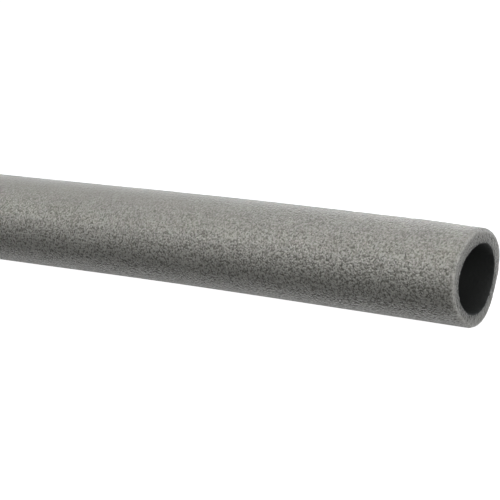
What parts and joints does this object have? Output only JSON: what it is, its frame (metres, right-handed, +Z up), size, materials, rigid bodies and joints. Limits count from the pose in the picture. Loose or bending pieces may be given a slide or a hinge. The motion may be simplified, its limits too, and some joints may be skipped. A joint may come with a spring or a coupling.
{
  "type": "pipe insulation lagging",
  "caption": "Straight length of round foam lagging that slides over a pipe, with square cut ends and a plain bore.",
  "frame": {"origin": "on the surface that the tube lies on, under the middle of its length", "axes": "+X along the tube's axis, towards the end that the picture shows; +Z up"},
  "size_m": [1, 0.062, 0.0619],
  "materials": {
    "grey_foam": "closed-cell polyethylene foam with a fine matt skin"
  },
  "bodies": {
    "root": {"lagging_tube": "grey_foam"}
  },
  "joints": []
}
